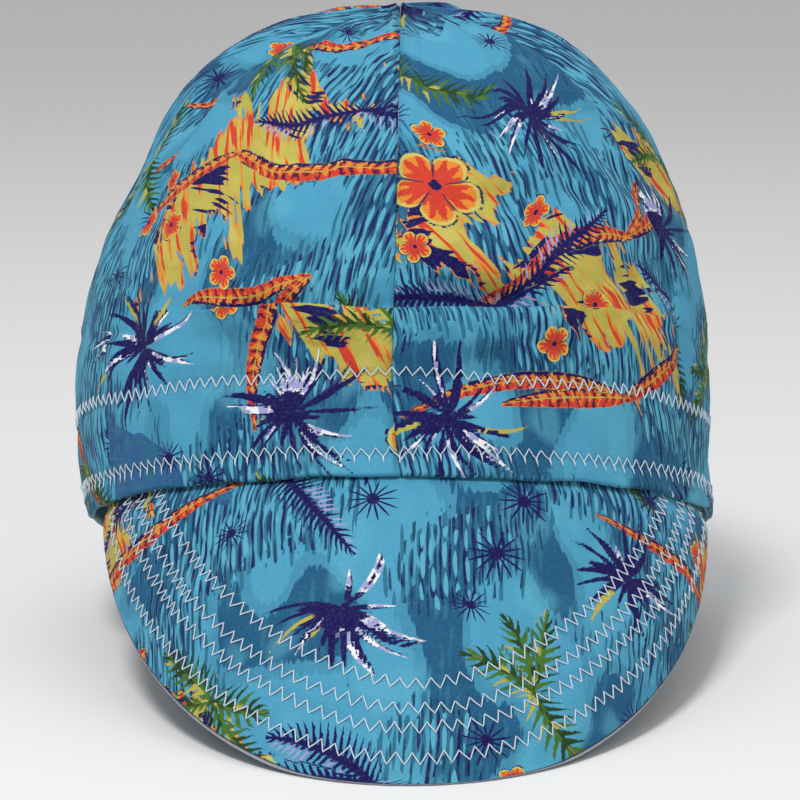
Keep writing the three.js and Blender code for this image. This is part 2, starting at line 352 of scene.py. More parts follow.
def band_surface(angle, up, out=0.0):
    """The panels below the upper row. Their hem is folded under and stands a little proud."""
    height = BAND_HEIGHT * up
    arc = angle * HEM_HALF_WIDTH
    meet = from_back(angle / DEG)
    above_row = height - LOWER_ROW
    relief = 0.35 * np.sin(math.pi * np.clip(up, 0, 1)) + 0.5 * bell(height, 5)
    relief = relief - ROW_PULL * bell(above_row, 1.1)
    relief = relief - ROW_PULL * bell(BAND_HEIGHT - row_drop(angle) - height, ROW_WIDTH)
    middle = smooth(height, 0, 5) * smooth(BAND_HEIGHT - height, 0, 5) * meet
    uneven = 0.3 * waves(arc, height, 21, 40, 12) + 0.06 * waves(arc, height, 22, 11, 6)
    relief = relief + middle * uneven
    relief = relief + puckers(angle) * (bell(above_row, 4) + bell(BAND_HEIGHT - height, 3.5))
    relief = relief - SEAM_GROOVE * bell(seam_gap(angle, HEM_HALF_WIDTH), SEAM_WIDTH) + out
    base = band_base(angle, up)
    base[..., 2] += 0.35 * bell(height, 6) * waves(arc, 0, 23, 60, 22, 6) * meet
    return base + normal_of(band_base, angle, up) * relief[..., None]


# Form of the bill
def corner_angle(inset):
    return math.asin(1 - inset / HEM_HALF_WIDTH)


BILL_FROM = -corner_angle(BILL_INSET_RIGHT)
BILL_TO = corner_angle(BILL_INSET_LEFT)
BILL_DOWN = np.array([0, -math.cos(BILL_DROOP * DEG), -math.sin(BILL_DROOP * DEG)])
BILL_TUCK = 5.0  # how far the bill goes up behind the hem
QUILT_ROWS = (9.2, 17.4, 22.8, 30.0)  # distances of the quilted rows from the outer edge
LEAST_HALF_THICKNESS = 0.35

# Dents and rolls: place across, distance from the hem, half breadth, depth
BILL_DENTS = [(3, 35, 17, 1.3), (5, 43, 17, -0.9), (-34, 22, 12, 0.8), (38, 26, 14, -0.8)]
DENT_HALF_HEIGHT = 4.5


def bill_angle(across):
    return BILL_FROM + (BILL_TO - BILL_FROM) * (across + 1) / 2


def bill_root(across):
    angle = bill_angle(across)
    inset = BILL_THICKNESS / 2
    front = HEM_FRONT_REACH - inset
    radius = oval_radius(angle, HEM_HALF_WIDTH - inset, front, HEM_BACK_REACH)
    x = radius * np.sin(angle) + HEM_SHIFT
    return np.stack([x, -radius * np.cos(angle), np.zeros_like(x)], -1)


def bill_reach(across):
    """Length of the bill from the hem, along its rulings."""
    middle = (math.sin(BILL_FROM) + math.sin(BILL_TO)) / 2
    half = (math.sin(BILL_TO) - math.sin(BILL_FROM)) / 2
    side = np.minimum(np.abs(np.sin(bill_angle(across)) - middle) / half, 1)
    outline = (1 - side**BILL_ROUNDNESS) ** (1 / BILL_ROUNDNESS)
    beyond = BILL_LENGTH - BILL_ARC - BILL_CORNER_DEPTH
    return BILL_CORNER_DEPTH + BILL_ARC * (1 - across**2) + beyond * outline


def flat_pattern():
    """The bill laid flat: each ruling's place across it, its side, its root and its edge."""
    across = np.sin(np.linspace(-1, 1, 1201) * math.pi / 2)
    roots = bill_root(across)
    level = roots @ BILL_DOWN
    side = lengths_along(roots - level[:, None] * BILL_DOWN)
    return across, side - np.interp(0, across, side), level, level + bill_reach(across)


PATTERN_ACROSS, PATTERN_SIDE, PATTERN_ROOT, PATTERN_EDGE = flat_pattern()


def edge_distance(side, level):
    """Distance from points of the flat pattern to its outer edge."""
    edge = np.stack([PATTERN_SIDE, PATTERN_EDGE], 1)[::4]
    flat = np.stack([side.ravel(), level.ravel()], 1)
    best = np.full(len(flat), 1e9)
    for a, b in zip(edge[:-1], edge[1:]):
        d = b - a
        t = np.clip(((flat - a) @ d) / (d @ d), 0, 1)
        gap = flat - a - t[:, None] * d
        best = np.minimum(best, np.einsum("ij,ij->i", gap, gap))
    return np.sqrt(best).reshape(side.shape)


def bill_surface(side, level, out, rim):
    """A point of the bill from its flat pattern. out is the distance from the middle layer."""
    across = np.interp(side, PATTERN_SIDE, PATTERN_ACROSS)
    root_level = np.interp(side, PATTERN_SIDE, PATTERN_ROOT)
    edge_level = np.interp(side, PATTERN_SIDE, PATTERN_EDGE)
    step = 1e-3
    round_it = bill_root(np.minimum(across + step, 1)) - bill_root(np.maximum(across - step, -1))
    normal = unit(np.cross(np.broadcast_to(BILL_DOWN, round_it.shape), round_it))
    from_hem = level - root_level
    down = np.clip(from_hem / (edge_level - root_level), 0, 1)
    slack = smooth(from_hem, 2, 25) * smooth(rim, 2, 20)
    bulge = BILL_BULGE * np.sin(math.pi * down) * (1 - across**2)
    bulge = bulge + slack * 0.6 * waves(side, level, 31, 60, 26, 8)
    for at, rise, width, depth in BILL_DENTS:
        near = bell(side - at, width) * bell(from_hem - rise, DENT_HALF_HEIGHT)
        bulge = bulge - depth * slack * near
    # the root is tucked behind the hem
    tuck = -1.5 * (1 - smooth(from_hem, -1, 7))
    away = (bulge + tuck + out)[..., None]
    return bill_root(across) + BILL_DOWN * from_hem[..., None] + normal * away


def bill_half_thickness(rim, side, level):
    """Half the bill's thickness: thin at its edge, pinched along the quilted rows."""
    swell = (BILL_THICKNESS - BILL_EDGE_THICKNESS) * smooth(rim, 0, 11)
    half = (BILL_EDGE_THICKNESS + swell) / 2
    drawn = 0.0
    for row in QUILT_ROWS:
        half = half - 0.42 * bell(rim - row, 1.5)
        drawn = drawn + bell(rim - row, 3.6)
    half = half + (0.04 + 0.1 * drawn) * waves(side, level, 33, 11, 5)
    half = half + 0.25 * bell(rim - 1.2, 1.0)
    return np.maximum(half, LEAST_HALF_THICKNESS)


# How the cap stands
REST_TILT = math.atan2(
    -BILL_LENGTH * BILL_DOWN[2], HEM_FRONT_REACH + HEM_BACK_REACH - BILL_LENGTH * BILL_DOWN[1]
)
REST_LIFT = HEM_BACK_REACH * math.sin(REST_TILT) - SETTLE
SOFT_CONTACT = 1.5  # height below which the cloth gives way to the floor


def tipped(vectors):
    c, s = math.cos(REST_TILT), math.sin(REST_TILT)
    x, y, z = np.moveaxis(vectors, -1, 0)
    return np.stack([x, y * c + z * s, -y * s + z * c], -1)


def stand(points, floor=0.05):
    """Tips the cap as it stands, presses it flat where it rests, and gives metres."""
    x, y, z = np.moveaxis(tipped(points), -1, 0)
    z = z + REST_LIFT
    # soft contact: what would sink flattens and spreads a little
    pressed = floor + (SOFT_CONTACT - floor) * np.exp((z - SOFT_CONTACT) / SOFT_CONTACT)
    z = np.where(z < SOFT_CONTACT, pressed, z)
    return np.stack([x + CENTRE[0], y + CENTRE[1], z], -1) * MM


# The print: motifs on a cloth that repeats
REPEAT = np.array([340.0, 300.0])
FAR = 30.0  # greatest distance that the print's layers tell
MOTIF_SEED = 20
SCATTER_TRIES = 4000

# Patches: place across and up, half lengths along and across them, turn in degrees
YELLOW_PATCHES = [
    (62, 214, 44, 18, 62),
    (112, 160, 22, 12, -30),
    (238, 76, 42, 16, -38),
    (196, 112, 18, 10, 40),
    (292, 246, 28, 14, 72),
    (18, 66, 20, 10, 0),
]
BLUE_PATCHES = [(150, 250, 34, 16, 12), (30, 122, 30, 13, -20), (300, 150, 32, 15, 30)]

# Motifs: how many, how far apart, and their least and greatest distance outside the yellow
MOTIF_PLACES = {
    "burst": (12, 50, 2, 60),
    "fern": (9, 40, -4, 60),
    "blade": (10, 44, -30, 12),
    "flower": (13, 26, -30, 4),
    "leaf": (17, 26, -20, 60),
    "star": (36, 13, -2, 60),
    "bud": (14, 11, -30, 8),
}


def wrapped(u, v, x, y):
    """Offsets to a place from the nearest repeat of another."""
    wide, tall = REPEAT
    return (u - x + wide / 2) % wide - wide / 2, (v - y + tall / 2) % tall - tall / 2


def wobble(u, v, seed, longest, shortest):
    """Unevenness that repeats with the cloth."""
    rng = np.random.default_rng(seed)
    wide, tall = REPEAT
    total = np.zeros(u.shape)
    for _ in range(10):
        i = rng.integers(-int(wide / shortest), int(wide / shortest) + 1)
        j = rng.integers(-int(tall / shortest), int(tall / shortest) + 1)
        if 1 / max(math.hypot(i / wide, j / tall), 1e-6) > longest:
            i += int(wide / longest)
        phase = rng.random() * 2 * math.pi
        total += np.sin(2 * math.pi * (i * u / wide + j * v / tall) + phase)
    return total / 2.2


def patches(u, v, table, seed):
    """Distance outside the ragged edge of the nearest patch."""
    best = np.full(u.shape, FAR)
    for x, y, rx, ry, turn in table:
        a, b = rotated(*wrapped(u, v, x, y), -turn)
        d = (np.hypot(a / rx, b / ry) - 1) * min(rx, ry)
        best = np.minimum(best, d) - 3 * np.exp(-((best - d) ** 2) / 60)
    return best + 3.2 * wobble(u, v, seed, 90, 22) + wobble(u, v, seed + 1, 22, 8)


def yellow_at(u, v):
    return patches(u, v, YELLOW_PATCHES, 41)


def scatter(rng, count, apart, least, most, taken):
    """Places on the repeat at least so far apart from each other and those taken."""
    places = []
    for _ in range(SCATTER_TRIES):
        if len(places) == count:
            break
        x, y = rng.random(2) * REPEAT
        if least <= yellow_at(np.array([x]), np.array([y]))[0] <= most:
            others = places + taken
            if all(math.hypot(*wrapped(x, y, a, b)) >= (apart + r) / 2 for a, b, r in others):
                places.append((x, y, apart))
    return places


def fan(rng, x, y, start, spread, count, lengths, bend, widths):
    """Strokes that leave one place over a spread of degrees."""
    table = []
    for i in range(count):
        turn = start + spread * ((i + 0.5) / count - 0.5) + rng.normal() * 0.12 * spread / count
        sizes = rng.uniform(*lengths), rng.uniform(-bend, bend), rng.uniform(*widths)
        table.append((x, y, turn, *sizes, rng.random()))
    return table


def make_motifs():
    rng = np.random.default_rng(MOTIF_SEED)
    at, taken = {}, []
    for name, row in MOTIF_PLACES.items():
        at[name] = scatter(rng, *row, taken)
        taken = taken + at[name]
    petals, fronds, blades, leaves = [], [], [], []
    for x, y, _ in at["burst"]:
        count = rng.integers(27, 36)
        petals += fan(rng, x, y, rng.random() * 360, 360, count, (9, 26), 0.05, (0.8, 1.5))
    for x, y, _ in at["fern"]:
        start = rng.random() * 360
        fronds += fan(rng, x, y, start, 70, 2, (30, 46), 0.022, (5.5, 7.5))
        fronds += fan(rng, x, y, start + 180, 40, 1, (14, 24), 0.02, (4, 5.5))
    for x, y, _ in at["blade"]:
        start = rng.choice([20, 160]) + rng.normal() * 20
        blades += fan(rng, x, y, start, 66, rng.integers(2, 4), (40, 74), 0.016, (2.0, 3.0))
    for x, y, _ in at["leaf"]:
        start = rng.uniform(20, 160)
        leaves += fan(rng, x, y, start, 80, rng.integers(3, 5), (17, 30), 0.03, (4.4, 6.4))

    def rounds(name, least, most):
        return [(x, y, rng.uniform(least, most), rng.random()) for x, y, _ in at[name]]

    blooms = rounds("flower", 9.5, 13.5) + rounds("bud", 4, 5.5)
    lines = {"frond": fronds, "leaf": leaves, "blade": blades, "petal": petals}
    return lines, {"bloom": blooms, "star": rounds("star", 4.2, 7.2)}


LINE_MOTIFS, ROUND_MOTIFS = make_motifs()


def strokes(u, v, table, taper):
    """Nearest curved stroke: how far along it, how far across, depth outside it, and its kind."""
    s, d, kind = np.zeros((3, *u.shape))
    outside = np.full(u.shape, FAR)
    for x, y, turn, length, bend, width, chance in table:
        dx, dy = wrapped(u, v, x, y)
        near = np.flatnonzero(dx * dx + dy * dy < (length + width + 6) ** 2)
        a, b = rotated(dx[near], dy[near], -turn)
        radius = 1 / (bend if abs(bend) > 1e-4 else 1e-4)
        side = np.sign(radius)
        along = np.arctan2(a * side, (radius - b) * side) * abs(radius)
        across = (abs(radius) - np.hypot(a, radius - b)) * side
        half = width * taper(np.clip(along / length, 0, 1))
        away = np.maximum(np.abs(across) - half, np.maximum(-along, along - length))
        nearer = away < outside[near]
        index = near[nearer]
        outside[index] = away[nearer]
        s[index] = along[nearer]
        d[index] = (across / np.maximum(half, 0.2))[nearer]
        kind[index] = chance
    return s, d, outside, kind


def discs(u, v, table):
    """Nearest round motif: place within it in its own radii, depth outside it, and its kind."""
    px, py = np.full((2, *u.shape), 3.0)
    kind = np.zeros(u.shape)
    outside = np.full(u.shape, FAR)
    for x, y, radius, chance in table:
        dx, dy = wrapped(u, v, x, y)
        away = np.hypot(dx, dy) - radius
        index = np.flatnonzero(away < outside)
        outside[index] = away[index]
        px[index] = dx[index] / radius
        py[index] = dy[index] / radius
        kind[index] = chance
    return px, py, outside, kind


def leaf_taper(t):
    return np.sin(math.pi * np.clip(0.04 + 0.93 * t, 0, 1) ** 0.75) ** 0.8 + 0.06


def petal_taper(t):
    return np.clip(0.16 + 1.9 * t, 0, 1) * np.clip(1.02 - t, 0, 1) ** 0.6


LINE_LAYERS = ("_s", "_d", "_out", "_kind")
ROUND_LAYERS = ("_x", "_y", "_out", "_kind")


def print_on(u, v):
    """The print's layers at places of the cloth, in millimetres."""
    u, v = np.ravel(u), np.ravel(v)
    layers = {
        "yellow": yellow_at(u, v),
        "blue": patches(u, v, BLUE_PATCHES, 51),
        "streaks": np.clip(0.5 + 0.75 * wobble(u, v, 61, 150, 60), 0, 1),
    }
    for name, table in LINE_MOTIFS.items():
        found = strokes(u, v, table, petal_taper if name == "petal" else leaf_taper)
        layers.update((name + end, values) for end, values in zip(LINE_LAYERS, found))
    for name, table in ROUND_MOTIFS.items():
        found = discs(u, v, table)
        layers.update((name + end, values) for end, values in zip(ROUND_LAYERS, found))
    return layers


def with_wrong_side(layers, count):
    """Adds points of the unprinted side to the print's layers."""
    done = {"wrong_side": np.repeat([0.0, 1.0], [len(layers["yellow"]), count])}
    for key, values in layers.items():
        blank = FAR if key in ("yellow", "blue") or key.endswith("_out") else 0.0
        done[key] = np.append(values, np.full(count, blank))
    return done


def cut_print(u, v, across, up, turn):
    u, v = rotated(u, v, turn)
    return u + across, v + up


# Meshes
def add_object(name, data):
    thing = bpy.data.objects.new(name, data)
    bpy.context.scene.collection.objects.link(thing)
    return thing


def add_mesh(name, vertices, faces, material, node, layers=None, places=None):
    """A piece of the cap. places are its points' places (u, v) on the cloth."""
    mesh = bpy.data.meshes.new(name)
    mesh.from_pydata(vertices.tolist(), [], faces)
    mesh.polygons.foreach_set("use_smooth", [True] * len(mesh.polygons))
    for key, values in (layers or {}).items():
        attribute = mesh.attributes.new(key, "FLOAT", "POINT")
        attribute.data.foreach_set("value", np.asarray(values, np.float32))
    if places is not None:
        attribute = mesh.attributes.new("cloth", "FLOAT_VECTOR", "POINT")
        flat = np.pad(places, ((0, 0), (0, 1)))
        attribute.data.foreach_set("vector", flat.astype(np.float32).ravel())
    mesh.materials.append(material)
    mesh.validate()
    mesh.update()
    piece = add_object(name, mesh)
    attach(piece, "root")
    if node:
        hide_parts(node)
    return piece


def grid_faces(index, flip=False):
    a, b, c, d = index[:-1, :-1], index[:-1, 1:], index[1:, 1:], index[1:, :-1]
    corners = [a, d, c, b] if flip else [a, b, c, d]
    return np.stack(corners, -1).reshape(-1, 4).tolist()


def zip_faces(fine, coarse, flip=False):
    """Triangles between a fine border and a coarse one, whose points are some of the fine ones'."""
    faces = []
    step = (len(fine) - 1) // (len(coarse) - 1)
    for k in range(len(coarse) - 1):
        last = len(fine) - 1 if k == len(coarse) - 2 else (k + 1) * step
        faces += [[coarse[k], fine[i], fine[i + 1]] for i in range(k * step, last)]
        faces.append([coarse[k], fine[last], coarse[k + 1]])
    return [face[::-1] for face in faces] if flip else faces


def coarse_steps(count, every):
    """Indices of evenly spaced rows or columns, and of the last one."""
    end = count - 1
    return [i * every for i in range(max(end // every, 1))] + [end]


def shell(outer, inner, coarse_rows, coarse_columns):
    """A closed wall: all of the outer grid, and the inner one at its coarse rows and columns."""
    inside = inner[np.ix_(coarse_rows, coarse_columns)]
    front = np.arange(outer.size // 3).reshape(outer.shape[:2])
    back = front.size + np.arange(inside.size // 3).reshape(inside.shape[:2])
    faces = grid_faces(front) + grid_faces(back, True)
    faces += zip_faces(front[0], back[0], True)
    faces += zip_faces(front[-1], back[-1])
    faces += zip_faces(front[:, 0], back[:, 0])
    faces += zip_faces(front[:, -1], back[:, -1], True)
    return np.vstack([outer.reshape(-1, 3), inside.reshape(-1, 3)]), faces


# Materials
def feed(tree, socket, value):
    """Links a value or an output to a socket, or sets the socket to a number or a colour."""
    if isinstance(value, Value):
        value = value.socket
    if isinstance(value, bpy.types.NodeSocket):
        tree.links.new(value, socket)
    else:
        socket.default_value = value


def add_node(tree, kind, inputs, **settings):
    node = tree.nodes.new("ShaderNode" + kind)
    for name, value in settings.items():
        setattr(node, name, value)
    for name, value in inputs.items():
        feed(tree, node.inputs[name], value)
    return node


class Value:
    """A number in a node tree, which can be added, multiplied and so on."""

    def __init__(self, tree, socket):
        self.tree, self.socket = tree, socket

    def math(self, kind, *others):
        node = add_node(self.tree, "Math", dict(enumerate((self, *others))), operation=kind)
        return Value(self.tree, node.outputs[0])

    def __add__(self, other):
        return self.math("ADD", other)

    def __sub__(self, other):
        return self.math("SUBTRACT", other)

    def __rsub__(self, other):
        return self.math("MULTIPLY", -1.0).math("ADD", other)

    def __mul__(self, other):
        return self.math("MULTIPLY", other)

    def abs(self):
        return self.math("ABSOLUTE")

    def above(self, edge, soft):
        """0 below the edge and 1 above it."""
        ends = {"Value": self, "From Min": edge - soft, "From Max": edge + soft}
        node = add_node(self.tree, "MapRange", ends, interpolation_type="SMOOTHSTEP")
        return Value(self.tree, node.outputs["Result"])

    def below(self, edge, soft):
        return 1.0 - self.above(edge, soft)


def linear(rgb):
    """A colour given as 0 to 255 for the screen, for a shader."""
    shares = [c / 255 for c in rgb]
    return (*(c / 12.92 if c <= 0.04045 else ((c + 0.055) / 1.055) ** 2.4 for c in shares), 1.0)


def colour_socket(sockets, name):
    return next(s for s in sockets if s.name == name and s.type == "RGBA")


def mixed(tree, share, low, high):
    node = add_node(tree, "Mix", {"Factor": share}, data_type="RGBA")
    for name, colour in (("A", low), ("B", high)):
        colour = linear(colour) if isinstance(colour, tuple) else colour
        feed(tree, colour_socket(node.inputs, name), colour)
    return colour_socket(node.outputs, "Result")


def noise(tree, vector, detail=2.0, rough=0.5, scale=1.0):
    inputs = {"Vector": vector, "Scale": scale, "Detail": detail, "Roughness": rough}
    return Value(tree, add_node(tree, "TexNoise", inputs).outputs["Fac"])


TURQUOISE = (76, 157, 190)
TURQUOISE_LIGHT = (92, 174, 198)
TEAL = (42, 108, 138)
TEAL_DEEP = (20, 64, 94)
WASH = (22, 82, 122)
POOL = (38, 84, 138)
NAVY = (20, 14, 84)
NAVY_DARK = (14, 12, 52)
YELLOW = (182, 172, 78)
YELLOW_PALE = (204, 192, 98)
ORANGE = (222, 136, 48)
RED = (206, 62, 42)
MAROON = (84, 20, 52)
WHITE = (236, 238, 242)
LILAC = (158, 160, 206)
GREEN = (70, 112, 40)
GREEN_DARK = (34, 66, 26)
WRONG_SIDE = (140, 176, 188)
# painted shade and painted highlight of the bill's rolled edge
LIP_SHADE = (52, 56, 74)
LIP_HIGHLIGHT = (170, 172, 186)
THREAD_DARK = (174, 196, 214)
THREAD_LIGHT = (222, 230, 238)

# Unevenness of the inks: its pace across the cloth and up it, its layer and its detail
GRAINS = {
    "brush": (0.9, 0.07, 0.0, 2.0),
    "coarse": (0.06, 0.035, 7.0, 1.5),
    "patch": (0.045, 0.03, 11.0, 0.0),
    "ripple": (0.12, 0.55, 31.0, 2.0),
    "pale": (0.05, 0.11, 37.0, 2.0),
    "comb": (0.07, 0.62, 43.0, 1.0),
    "blot": (0.06, 0.07, 47.0, 1.0),
    "slub": (1.2, 5.0, 0.0, 2.0),
}

# Brush strokes of the ground: their pitch across, their height, their breadth as a share of the
# pitch, how much has to gather before they show, and their ink
GROUND_STROKES = [
    (2.1, 15.0, 0.3, 0.5, TEAL),
    (1.9, 11.0, 0.22, 0.62, TEAL_DEEP),
    (2.6, 13.0, 0.17, 0.8, NAVY),
    (2.9, 9.0, 0.2, 0.9, TURQUOISE_LIGHT),
]


class Print:
    """The printed cloth, painted ink by ink at its places u across and v up, in millimetres."""

    def __init__(self, tree, seed):
        self.tree, self.seed, self.colour = tree, seed, TURQUOISE
        cloth = add_node(tree, "Attribute", {}, attribute_name="cloth")
        split = add_node(tree, "SeparateXYZ", {0: cloth.outputs["Vector"]})
        self.u, self.v = Value(tree, split.outputs[0]), Value(tree, split.outputs[1])
        self.brush, self.coarse = self.grain("brush"), self.grain("coarse")
        self.ragged = self.noise(self.u, self.v, seed + 3.0, 3.0, 0.65, 0.55) - 0.5

    def place(self, x, y, z=0.0):
        return add_node(self.tree, "CombineXYZ", {0: x, 1: y, 2: z}).outputs[0]

    def noise(self, x, y, z, *looks):
        return noise(self.tree, self.place(x, y, z), *looks)

    def grain(self, name):
        across, up, layer, detail = GRAINS[name]
        return self.noise(self.u * across, self.v * up, self.seed + layer, detail)

    def chance(self, x, y):
        """A number from 0 to 1 for each pair of whole numbers."""
        where = {"Vector": self.place(x, y)}
        node = add_node(self.tree, "TexWhiteNoise", where, noise_dimensions="2D")
        return Value(self.tree, node.outputs["Value"])

    def field(self, name):
        node = add_node(self.tree, "Attribute", {}, attribute_name=name)
        return Value(self.tree, node.outputs["Fac"])

    def line(self, name):
        return [self.field(name + end) for end in LINE_LAYERS]

    def rosette(self, name):
        """How near a round motif is, and the radius, turn and kind of a place in it."""
        x, y, out, kind = (self.field(name + end) for end in ROUND_LAYERS)
        radius = (x * x + y * y).math("SQRT")
        return out.below(1.0, 0.3), radius, y.math("ARCTAN2", x) + kind * 6.0, kind

    def paint(self, share, ink):
        self.colour = mixed(self.tree, share, self.colour, ink)


def paint_ground(p):
    """Washes of turquoise in upright patches, with brush strokes where they gather, and pools."""
    patch = p.grain("patch") + (p.brush - 0.5) * 0.1
    p.paint(patch.above(0.5, 0.008) * 0.35, TEAL)
    p.paint(patch.above(0.565, 0.006) * 0.9, WASH)
    p.paint(p.coarse.above(0.58, 0.05) * 0.45, TURQUOISE_LIGHT)
    # strokes are drawn one by one: upright cells, some of which hold a tapered stroke
    gather = p.field("streaks")
    for pitch, tall, width, crowd, ink in GROUND_STROKES:
        lean = p.u * (1.0 / pitch) + p.v * 0.012 + p.coarse * 1.6
        column = lean.math("FLOOR")
        climb = p.v * (1.0 / tall) + p.chance(column, p.seed + pitch)
        row = climb.math("FLOOR")
        chance = p.chance(column, row + p.seed + tall)
        full = p.chance(column + 0.5, row + p.seed)
        middle = (lean.math("FRACT") - 0.5 + (full - 0.5) * 0.4).abs()
        end = ((climb.math("FRACT") - 0.5) * 2.0).abs().math("POWER", 3.0)
        reach = (0.85 - end - full * 0.3) * (width * 1.3)
        drawn = (reach - middle + p.ragged * 0.06).above(0.0, 0.03)
        present = (chance * 0.45 + gather * 0.85 + (patch - 0.5) * 1.2).above(crowd, 0.005)
        p.paint(drawn * present * 0.92, ink)
    pool = (p.field("blue") + p.ragged * 3.0).below(0.0, 0.25)
    p.paint(pool * 0.85, POOL)
    p.paint(pool * p.grain("ripple").above(0.55, 0.04), TEAL)


def paint_yellow(p):
    """Yellow patches with strokes of orange and red and combs of navy."""
    swept = p.noise(p.u * 0.32 + p.v * 0.2, p.v * 0.045 - p.u * 0.03, p.seed, 1.0)
    hot = p.noise(p.u * 0.5 + p.v * 0.28, p.v * 0.05 - p.u * 0.03, p.seed + 41.0, 1.5)
    edge = p.field("yellow") + p.ragged * 2.2 + (swept - 0.4) * 26.0
    yellow = edge.below(0.0, 0.18)
    combed = (p.grain("blot") + (p.grain("comb") - 0.5) * 0.4).above(0.59, 0.012)
    rim = edge.abs().below(0.55, 0.2)
    p.paint(yellow, YELLOW)
    p.paint(yellow * p.grain("pale").above(0.54, 0.1) * 0.6, YELLOW_PALE)
    p.paint(yellow * hot.above(0.54, 0.03), ORANGE)
    p.paint(yellow * hot.above(0.59, 0.02), RED)
    p.paint(yellow * combed, NAVY)
    p.paint(rim * p.brush.above(0.5, 0.05) * edge.below(1.2, 0.1), ORANGE)


def paint_blades(p):
    """Pointed leaves of orange and red, with a pale rib and slanting dark veins."""
    s, d, out, kind = p.line("blade")
    wide = d.abs()
    torn = p.ragged * 1.6
    body = (out + p.ragged * 1.5).below(0.0, 0.2)
    slant = p.noise(s * 0.5, d * 0.9, kind * 30.0, 2.0, 0.6)
    vein = (s * 2.0 - wide * 2.6 + d * 1.1 + slant * 9.0 + kind * 9.0).math("SINE")
    p.paint(body, YELLOW_PALE)
    p.paint(body * (wide + torn).below(0.78, 0.1), ORANGE)
    p.paint(body * (vein * 0.5 + (slant - 0.5) * 2.0 + d * 0.6).above(-0.2, 0.12), RED)
    p.paint(body * (vein + torn).above(0.72, 0.12), MAROON)
    p.paint(body * (d + torn).below(-0.62, 0.08), NAVY)
    p.paint(body * (wide + slant * 0.3).below(0.22, 0.05), YELLOW)


def paint_blooms(p):
    """Flowers of five petals with veins, a dark eye and a bright rim."""
    near, radius, turn, _ = p.rosette("bloom")
    lobe = (turn * 2.5).math("COSINE").abs().math("POWER", 0.6)
    inside = lobe * 0.42 + 0.56 + p.ragged * 0.16 - radius
    petal = near * inside.above(0.0, 0.02)
    vein = (turn * 17.0 + p.ragged * 5.0).math("SINE") * 0.16
    between = lobe.below(0.3, 0.1) * radius.above(0.22, 0.03)
    halo = inside.above(-0.07, 0.02) - inside.above(0.0, 0.02)
    p.paint(petal, YELLOW_PALE)
    p.paint(petal * inside.above(0.09, 0.03), ORANGE)
    p.paint(petal * (inside + vein).above(0.24, 0.04), RED)
    p.paint(petal * between * 0.9, NAVY)
    p.paint(near * (radius + p.ragged * 0.2).below(0.14, 0.02), NAVY)
    p.paint(near * halo * (p.ragged + 0.5).above(0.5, 0.03), NAVY)


def feather(p, name, pitch, slope):
    """Where a feathered leaf is printed, the side of it, and a chance for each of its barbs."""
    s, d, out, kind = p.line(name)
    width = d.abs()
    count = s * (1.0 / pitch) - width * slope + kind * 5.0 + p.ragged * 0.5
    barb = (count.math("FRACT") - 0.5).abs() * 2.0
    cut = (1.0 - width * 0.72 - 0.18 - barb + p.ragged * 0.5).above(0.0, 0.1)
    mask = out.below(0.3, 0.25) * cut.math("MAXIMUM", width.below(0.16, 0.06))
    side = (d.above(0.0, 0.01) + kind * 9.0).math("FLOOR")
    return mask, d, p.chance(count.math("FLOOR"), side)


def paint_leaves(p):
    """Green leaves and dark fern sprigs."""
    mask, d, chance = feather(p, "leaf", 2.6, 1.5)
    p.paint(mask, GREEN_DARK)
    p.paint(mask * (chance + d * 0.4).above(0.5, 0.05), GREEN)
    p.paint(mask * (chance + d * 0.3).above(0.93, 0.03), YELLOW)
    mask, d, chance = feather(p, "frond", 1.8, 1.7)
    p.paint(mask, NAVY)
    p.paint(mask * (d + p.ragged * 0.8).above(0.3, 0.12) * chance.above(0.55, 0.02), LILAC)


def paint_bursts(p):
    """Many-petalled dark flowers, some of whose petals are pale."""
    s, d, out, kind = p.line("petal")
    petal = (out + p.ragged * 0.9).below(0.0, 0.14)
    tip = (s + p.ragged * 9.0).above(6.5, 0.6)
    pale = kind.above(0.7, 0.01) * tip * (d + p.ragged * 2.0).above(-0.35, 0.15)
    tinted = (s * 0.9 + p.ragged * 6.0).math("SINE").above(0.35, 0.2)
    gold = kind.below(0.09, 0.01) * s.above(8.0, 0.8)
    p.paint(petal, NAVY)
    p.paint(petal * pale, WHITE)
    p.paint(petal * pale * tinted, LILAC)
    p.paint(petal * gold, YELLOW)


def paint_stars(p):
    """Small dark stars."""
    near, radius, turn, kind = p.rosette("star")
    spoke = (turn * 7.0).math("SINE").abs()
    uneven = p.noise(turn * 2.0, kind * 40.0, 3.0, 0.0)
    reach = (1.0 - spoke * 1.3).math("MAXIMUM", 0.0) * (uneven + 0.45) + 0.3
    p.paint(near * (reach - radius + p.ragged * 0.16).above(0.0, 0.05), NAVY)


def paint_wear(p):
    """Ink is a little uneven and rubs pale on the threads that stand up."""
    worn = p.noise(p.u, p.v, p.seed + 61.0, 3.0, 0.7, 1.6)
    p.paint(worn.above(0.62, 0.12) * 0.05, WHITE)
    p.paint((1.0 - worn).above(0.62, 0.12) * 0.1, NAVY_DARK)


PRINT_STEPS = (
    paint_ground,
    paint_yellow,
    paint_blades,
    paint_blooms,
    paint_leaves,
    paint_bursts,
    paint_stars,
    paint_wear,
)
WEAVE_PACE = 13.5  # radians of a thread's wave in a millimetre


def new_material(name):
    material = bpy.data.materials.new(name)
    material.use_nodes = True
    return material, material.node_tree


def shade(tree, height, strength, distance, inputs):
    """Sets the shader's inputs and gives it a bump."""
    bump = add_node(tree, "Bump", {"Strength": strength, "Distance": distance, "Height": height})
    for name, value in {**inputs, "Normal": bump.outputs[0]}.items():
        feed(tree, tree.nodes["Principled BSDF"].inputs[name], value)


